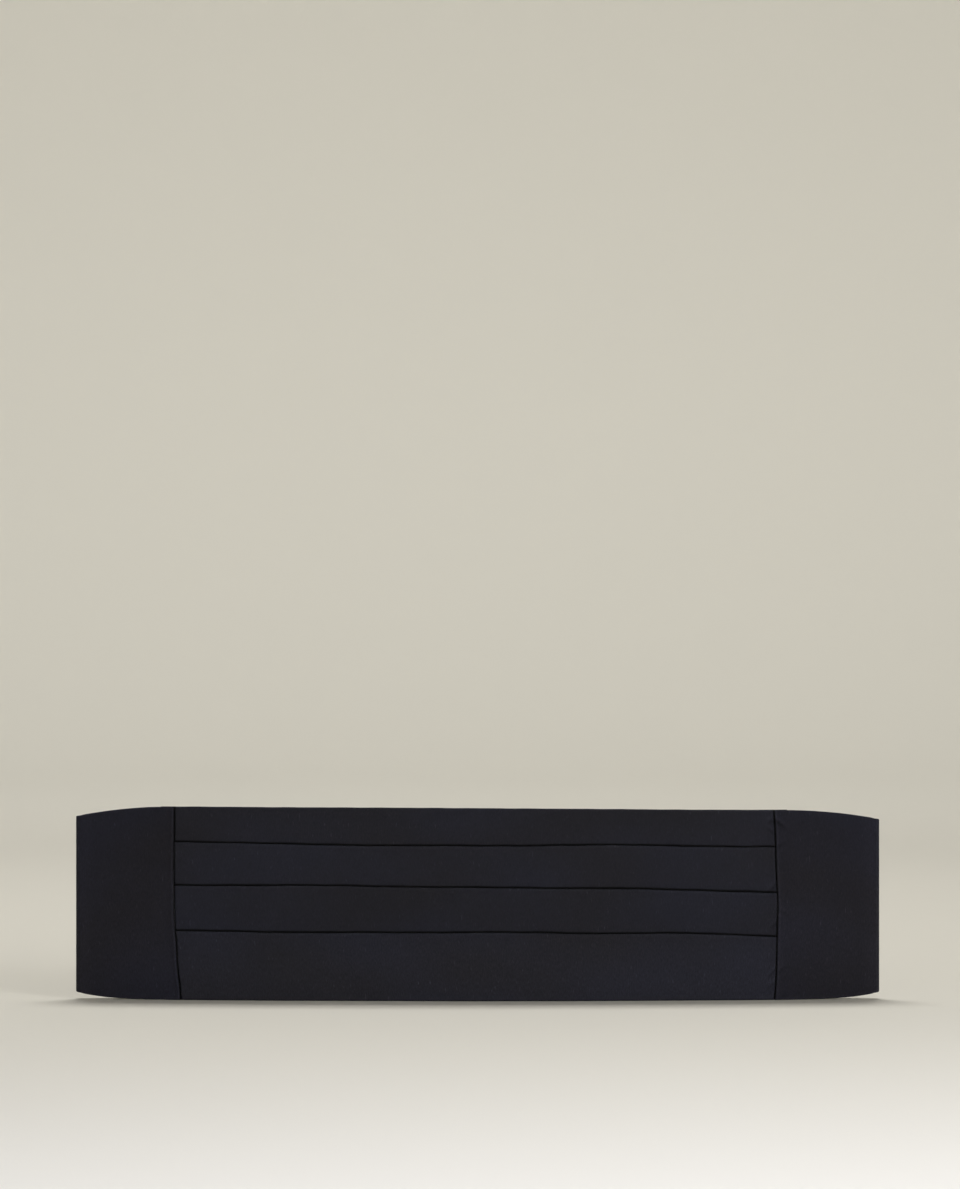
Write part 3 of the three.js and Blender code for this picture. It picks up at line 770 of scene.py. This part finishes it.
class Nodes:
    """A short way to write a material's node tree."""

    def __init__(self, name):
        self.material = bpy.data.materials.new(name)
        self.material.use_nodes = True
        self.tree = self.material.node_tree
        self.tree.nodes.clear()
        self.shader = self.add("ShaderNodeBsdfPrincipled")
        self.add("ShaderNodeOutputMaterial", {"Surface": self.shader.outputs["BSDF"]})

    def put(self, socket, value):
        if isinstance(value, bpy.types.NodeSocket):
            self.tree.links.new(value, socket)
        else:
            socket.default_value = value

    def add(self, kind, inputs=None, **settings):
        node = self.tree.nodes.new(kind)
        for key, value in settings.items():
            setattr(node, key, value)
        for key, value in (inputs or {}).items():
            self.put(node.inputs[key], value)
        return node

    def set(self, **sockets):
        """Shader sockets by name, with _ for a space."""
        for key, value in sockets.items():
            self.put(self.shader.inputs[key.replace("_", " ")], value)

    def math(self, operation, a, b=0.0):
        return self.add("ShaderNodeMath", {0: a, 1: b}, operation=operation).outputs[0]

    def uv(self):
        return self.add("ShaderNodeUVMap", uv_map="cloth").outputs["UV"]

    def place(self):
        return self.add("ShaderNodeTexCoord").outputs["Object"]

    def kept(self, name):
        """A number kept on the mesh's points."""
        return self.add("ShaderNodeAttribute", attribute_name=name).outputs["Fac"]

    def map(self, where, scale, turn=0.0):
        node = self.add("ShaderNodeMapping", {"Vector": where, "Scale": scale, "Rotation": (0, 0, turn)})
        return node.outputs["Vector"]

    def noise(self, where, scale, detail=2.0, rough=0.5):
        """Noise around 0.5, with a scale for each direction in cells a metre."""
        inputs = {"Vector": self.map(where, scale), "Scale": 1.0, "Detail": detail, "Roughness": rough}
        return self.add("ShaderNodeTexNoise", inputs).outputs["Fac"]

    def span(self, value, low, high, start=0.3, end=0.7):
        """A value from start to end, turned into low to high."""
        inputs = {0: value, 1: start, 2: end, 3: low, 4: high}
        return self.add("ShaderNodeMapRange", inputs).outputs[0]

    def times(self, *values):
        total = values[0]
        for value in values[1:]:
            total = self.math("MULTIPLY", total, value)
        return total

    def shade(self, colour, tone):
        return self.add("ShaderNodeVectorMath", {0: colour, 3: tone}, operation="SCALE").outputs[0]

    def blend(self, share, a, b):
        """Colour a turned into b by a share: the Mix node keeps its colours in sockets 6, 7 and 2."""
        return self.add("ShaderNodeMix", {0: share, 6: a, 7: b}, data_type="RGBA").outputs[2]

    def bump(self, height, distance, strength):
        node = self.add("ShaderNodeBump", {"Strength": strength, "Distance": distance, "Height": height})
        self.set(Normal=node.outputs["Normal"])


def floats(nodes, where, width, length):
    """Short upright floats of thread, laid as bricks are."""
    return nodes.add(
        "ShaderNodeTexBrick",
        {
            "Vector": nodes.map(where, (1.0, 1.0, 1.0), math.pi / 2),
            "Color1": (0.0, 0.0, 0.0, 1),
            "Color2": (1.0, 1.0, 1.0, 1),
            "Mortar": (0.5, 0.5, 0.5, 1),
            "Scale": 1.0,
            "Mortar Size": width * 0.17,
            "Mortar Smooth": 1.0,
            "Brick Width": length,
            "Row Height": width,
        },
    )


def cloth(name, colour, float_width=0.52e-3, float_length=1.5e-3,
          rough=0.84, contrast=1.0, sheen=0.12, gloss=0.1):
    """Matte black cloth, darker and lighter by its floats and slubs, with painted shade in its folds and
    painted light on its edges.
    """
    nodes = Nodes(name)
    where = nodes.uv()
    bricks = floats(nodes, where, float_width, float_length)
    groove = bricks.outputs["Fac"]
    marks = nodes.noise(where, (1500.0, 420.0, 1.0), 2.0, 0.6)
    slubs = nodes.noise(where, (900.0, 170.0, 1.0), 1.0, 0.5)
    slubs = nodes.span(slubs, 0.0, 1.0, 0.68, 0.8)
    mottle = nodes.noise(where, (160.0, 110.0, 1.0), 3.0, 0.55)
    drift = nodes.noise(where, (9.0, 14.0, 1.0), 1.0, 0.4)
    tone = nodes.times(
        nodes.span(bricks.outputs["Color"], 1 - 0.09 * contrast, 1 + 0.09 * contrast, 0.0, 1.0),
        nodes.span(marks, 1 - 0.11 * contrast, 1 + 0.11 * contrast),
        nodes.span(slubs, 1.0, 1 + 0.8 * contrast, 0.0, 1.0),
        nodes.span(mottle, 1 - 0.05 * contrast, 1 + 0.05 * contrast),
        nodes.span(drift, 0.94, 1.06),
        nodes.span(groove, 1.0, 0.7, 0.0, 1.0),
        # painted shade: down to 8 per cent of the colour in folds, pockets and crevices
        nodes.span(nodes.kept("painted_shade"), 1.0, 0.08, 0.0, 1.0),
        # painted light: up to 1.7 times the colour on edges, pull ridges and low hems, broken up by the
        # marks
        nodes.span(nodes.math("MULTIPLY", nodes.kept("painted_light"), marks), 1.0, 1.7, 0.0, 1.0),
    )
    red, green, blue = colour
    hue = nodes.blend(
        nodes.span(drift, 0.0, 1.0, 0.38, 0.64),
        (red, green, blue, 1),
        (red, green * 1.05, blue * 1.2, 1),
    )
    nodes.set(
        Base_Color=nodes.shade(hue, tone),
        Roughness=nodes.span(mottle, rough - 0.05, rough + 0.05),
        Sheen_Weight=sheen,
        Sheen_Roughness=0.45,
        Sheen_Tint=(0.8, 0.84, 1.0, 1),
        Specular_IOR_Level=gloss,
    )
    fine = nodes.math("SUBTRACT", nodes.times(marks, 0.6), nodes.times(groove, 0.8))
    coarse = nodes.math("ADD", nodes.times(mottle, 1.5), nodes.times(slubs, 0.5))
    relief = nodes.math("ADD", fine, coarse)
    nodes.bump(relief, 0.00008, 0.6)
    return nodes.material


def webbing(name, colour, rib=1.1e-3):
    """Ribs across the strap, crossed by fine thread ends."""
    nodes = Nodes(name)
    where = nodes.uv()
    # a wave texture of scale 1 has a band every 2 pi / 20
    wave = {"Vector": nodes.map(where, (1.0, 0.0, 0.0)), "Scale": 2 * math.pi / 20.0 / rib}
    ribs = nodes.add("ShaderNodeTexWave", wave, wave_type="BANDS", bands_direction="X").outputs["Fac"]
    ends = nodes.noise(where, (700.0, 2400.0, 1.0), 2.0, 0.6)
    mottle = nodes.noise(where, (120.0, 120.0, 1.0))
    tone = nodes.times(
        nodes.span(ends, 0.78, 1.22),
        nodes.span(mottle, 0.93, 1.07),
        nodes.span(ribs, 0.7, 1.2, 0.0, 1.0),
    )
    nodes.set(
        Base_Color=nodes.shade(colour, tone),
        Roughness=nodes.span(ends, 0.55, 0.72),
        Sheen_Weight=0.15,
        Sheen_Roughness=0.4,
    )
    nodes.bump(nodes.math("ADD", ribs, nodes.times(ends, 0.6)), 0.00012, 0.6)
    return nodes.material


def enamel(name):
    """Black enamelled metal, a little rubbed on its raised edges."""
    nodes = Nodes(name)
    where = nodes.place()
    cloudy = nodes.noise(where, (260.0, 260.0, 260.0), 4.0, 0.6)
    scuffs = nodes.noise(where, (3000.0, 3000.0, 240.0), 3.0, 0.7)
    edge = nodes.add("ShaderNodeNewGeometry").outputs["Pointiness"]
    lightened = nodes.times(nodes.span(edge, 0.0, 0.7, 0.515, 0.56), nodes.span(cloudy, 0.1, 1.0))
    nodes.set(
        Base_Color=nodes.blend(lightened, ENAMEL_COLOUR, RUBBED_COLOUR),
        Roughness=nodes.span(scuffs, 0.30, 0.44),
        Metallic=0.35,
    )
    nodes.bump(cloudy, 0.00005, 0.12)
    return nodes.material


def thread(name):
    """Twisted sewing thread, a shade lighter than the cloth."""
    nodes = Nodes(name)
    twist = nodes.noise(nodes.place(), (2600.0, 2600.0, 2600.0), 2.0, 0.6)
    tone = nodes.span(twist, 0.7, 1.35)
    nodes.set(Base_Color=nodes.shade(THREAD_COLOUR, tone), Roughness=nodes.span(twist, 0.5, 0.7))
    nodes.bump(twist, 0.00004, 0.4)
    return nodes.material


def backdrop_paper(name):
    nodes = Nodes(name)
    grain = nodes.noise(nodes.place(), (900.0, 900.0, 900.0), 2.0, 0.6)
    tone = nodes.span(grain, 0.992, 1.008)
    nodes.set(Base_Color=nodes.shade(PAPER_COLOUR, tone), Roughness=0.85, Specular_IOR_Level=0.15)
    return nodes.material


# the object


def belongs(piece, node):
    """A piece rides on the one body and stands in for a node of the frame, whose part is hidden."""
    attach(piece, "root")
    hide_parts(node)


def build():
    lining = cloth("lining_cloth", LINING_COLOUR, 0.3e-3, 0.9e-3,
                   rough=0.5, contrast=0.6, sheen=0.05, gloss=0.3)
    front = pleated_front([cloth("pleated_cloth", FRONT_COLOUR), lining])
    belongs(front, "pleated_front")
    side_materials = [cloth("side_cloth", SIDE_COLOUR), lining]
    strap_material = webbing("strap_webbing", WEBBING_COLOUR)
    sewing = thread("sewing_thread")
    for side, word in ((-1, "left"), (1, "right")):
        panel = side_panel(side, side_materials)
        belongs(panel, "side_panel_" + word)
        ribbon, length = strap(side, [strap_material])
        belongs(ribbon, "back_strap_" + word)
        sewn = strap_stitches(side, sewing)
        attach(sewn, "root")
    belongs(clasp_plate(enamel("clasp_enamel")), "clasp")


make_camera()
backdrop(backdrop_paper("backdrop_paper"))
studio_light()
build()
